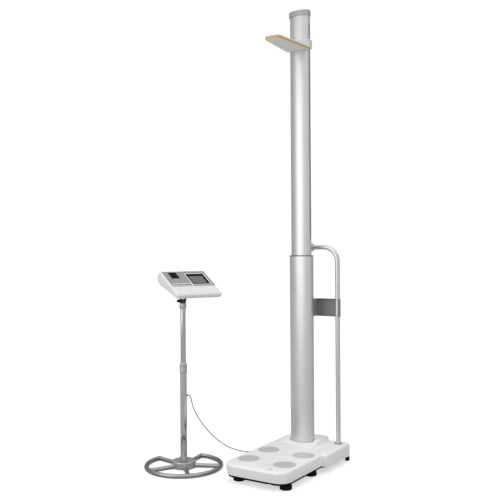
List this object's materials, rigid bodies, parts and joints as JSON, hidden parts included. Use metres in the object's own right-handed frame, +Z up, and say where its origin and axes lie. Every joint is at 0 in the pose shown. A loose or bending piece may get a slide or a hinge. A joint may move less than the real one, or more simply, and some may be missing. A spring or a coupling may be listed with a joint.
{
  "type": "electronic physician column scale",
  "caption": "Body weighing platform with foot electrodes, powered height rod, handrail and a printer console on its own adjustable ring-foot stand.",
  "frame": {"origin": "on the floor, at the middle of the footprint of platform and console stand together", "axes": "+Z up; the person on the platform faces -Y; +X towards the handrail, and the console stand is on the -X side"},
  "size_m": [0.8599, 0.748, 2.324],
  "materials": {
    "white_plastic": "white satin moulded plastic",
    "grey_plastic": "fine matt grey plastic",
    "dark_plastic": "matt black plastic",
    "black_rubber": "matt rubber",
    "black_paint": "black paint on steel",
    "satin_aluminium": "satin anodised, silver",
    "brushed_steel": "fine brushed",
    "chrome": "polished",
    "rail_paint": "silver-grey satin paint",
    "dark_paint": "dark grey satin paint",
    "orange_rubber": "smooth orange edging",
    "screen_glass": "glossy dark display window",
    "paper": "white thermal paper",
    "cable_grey": "smooth grey cable jacket"
  },
  "bodies": {
    "base": {"underframe": "black_paint", "platform_cover": "white_plastic", "deck_plate": "brushed_steel", "electrode_1": "brushed_steel", "electrode_2": "brushed_steel", "electrode_3": "brushed_steel", "electrode_4": "brushed_steel", "load_cell_1": "satin_aluminium", "load_cell_2": "satin_aluminium", "load_cell_3": "satin_aluminium", "load_cell_4": "satin_aluminium", "level_vial": "grey_plastic", "data_socket": "dark_plastic", "power_inlet": "dark_plastic", "lower_column": "satin_aluminium", "base_seal": "black_rubber", "joint_trim": "dark_plastic", "upper_column": "satin_aluminium", "top_cap": "grey_plastic", "drive_frame": "brushed_steel", "drive_motor": "dark_plastic", "drive_belt": "black_rubber", "rail_tube": "rail_paint", "rail_flange": "rail_paint", "rail_clamp": "dark_paint", "rail_bracket": "dark_paint", "ring_base": "chrome", "stand_hub": "brushed_steel", "lower_pole": "chrome", "cable_grommet": "black_rubber", "data_cable": "cable_grey", "cable_plug": "dark_plastic"},
    "front_left_foot": {"foot_1": "black_rubber"},
    "front_right_foot": {"foot_2": "black_rubber"},
    "middle_left_foot": {"foot_3": "black_rubber"},
    "middle_right_foot": {"foot_4": "black_rubber"},
    "rear_left_foot": {"rear_foot_1": "black_rubber"},
    "rear_right_foot": {"rear_foot_2": "black_rubber"},
    "head": {"head_plate": "grey_plastic", "head_bumper": "orange_rubber", "head_collar": "grey_plastic", "carriage": "dark_plastic"},
    "drive_wheel": {"drive_pulley": "brushed_steel"},
    "idler_wheel": {"idler_pulley": "brushed_steel"},
    "twist_ring": {"twist_collar": "brushed_steel"},
    "upper_stand": {"upper_pole": "chrome", "head_pole_collar": "brushed_steel"},
    "swivel": {"swivel_head": "dark_plastic"},
    "console": {"console_top": "white_plastic", "console_base": "white_plastic", "console_panel": "grey_plastic", "display_bezel": "dark_plastic", "display_screen": "screen_glass", "tilt_bracket": "dark_plastic"},
    "tilt_screw": {"tilt_knob": "black_rubber"},
    "paper_door": {"printer_door": "dark_plastic"},
    "paper": {"paper_roll": "paper"},
    "key_body_1": {"key_1": "grey_plastic"},
    "key_body_2": {"key_2": "grey_plastic"},
    "key_body_3": {"key_3": "grey_plastic"}
  },
  "joints": [
    {"name": "front_left_foot_turn", "type": "hinge", "parent": "base", "child": "front_left_foot", "pos_m": [0.119, -0.201, 0], "axis": [0, 0, 1], "continuous": true},
    {"name": "front_right_foot_turn", "type": "hinge", "parent": "base", "child": "front_right_foot", "pos_m": [0.373, -0.201, 0], "axis": [0, 0, 1], "continuous": true},
    {"name": "middle_left_foot_turn", "type": "hinge", "parent": "base", "child": "middle_left_foot", "pos_m": [0.119, 0.041, 0], "axis": [0, 0, 1], "continuous": true},
    {"name": "middle_right_foot_turn", "type": "hinge", "parent": "base", "child": "middle_right_foot", "pos_m": [0.373, 0.041, 0], "axis": [0, 0, 1], "continuous": true},
    {"name": "rear_left_foot_turn", "type": "hinge", "parent": "base", "child": "rear_left_foot", "pos_m": [0.078, 0.36, 0], "axis": [0, 0, 1], "continuous": true},
    {"name": "rear_right_foot_turn", "type": "hinge", "parent": "base", "child": "rear_right_foot", "pos_m": [0.416, 0.36, 0], "axis": [0, 0, 1], "continuous": true},
    {"name": "head_slide", "type": "slide", "parent": "base", "child": "head", "axis": [0, 0, 1], "range_m": [-0.97, 0]},
    {"name": "drive_wheel_spin", "type": "hinge", "parent": "base", "child": "drive_wheel", "pos_m": [0.216, 0.232, 1.1028], "axis": [0, -1, 0], "continuous": true},
    {"name": "idler_wheel_spin", "type": "hinge", "parent": "base", "child": "idler_wheel", "pos_m": [0.216, 0.232, 2.262], "axis": [0, -1, 0], "continuous": true},
    {"name": "twist_ring_turn", "type": "hinge", "parent": "base", "child": "twist_ring", "pos_m": [-0.232, -0.176, 0.474], "axis": [0, 0, 1], "range_deg": [0, 90]},
    {"name": "stand_height", "type": "slide", "parent": "base", "child": "upper_stand", "axis": [0, 0, 1], "range_m": [-0.25, 0.06]},
    {"name": "console_swivel", "type": "hinge", "parent": "upper_stand", "child": "swivel", "pos_m": [-0.232, -0.176, 0.795], "axis": [0, 0, 1], "range_deg": [-90, 90]},
    {"name": "console_tilt", "type": "hinge", "parent": "swivel", "child": "console", "pos_m": [-0.232, -0.176, 0.8365], "axis": [0.4242, 0.9056, 0], "range_deg": [-20, 10]},
    {"name": "tilt_screw_turn", "type": "hinge", "parent": "console", "child": "tilt_screw", "pos_m": [-0.232, -0.176, 0.8365], "axis": [0.4242, 0.9056, 0], "range_deg": [0, 270]},
    {"name": "paper_door_open", "type": "hinge", "parent": "console", "child": "paper_door", "pos_m": [-0.27487, -0.21223, 0.97845], "axis": [-0.4242, -0.9056, 0], "range_deg": [0, 95]},
    {"name": "paper_spin", "type": "hinge", "parent": "console", "child": "paper", "pos_m": [-0.27068, -0.2142, 0.95103], "axis": [0.4242, 0.9056, 0], "continuous": true},
    {"name": "key_1_press", "type": "slide", "parent": "console", "child": "key_body_1", "axis": [-0.4265, 0.1998, -0.8821], "range_m": [0, 0.0008], "stiffness_N_per_m": 800},
    {"name": "key_2_press", "type": "slide", "parent": "console", "child": "key_body_2", "axis": [-0.4265, 0.1998, -0.8821], "range_m": [0, 0.0008], "stiffness_N_per_m": 800},
    {"name": "key_3_press", "type": "slide", "parent": "console", "child": "key_body_3", "axis": [-0.4265, 0.1998, -0.8821], "range_m": [0, 0.0008], "stiffness_N_per_m": 800}
  ],
  "couplings": [
    {"joint": "drive_wheel_spin", "follows": "head_slide", "rad_per_m": 87.719},
    {"joint": "idler_wheel_spin", "follows": "head_slide", "rad_per_m": 87.719}
  ]
}
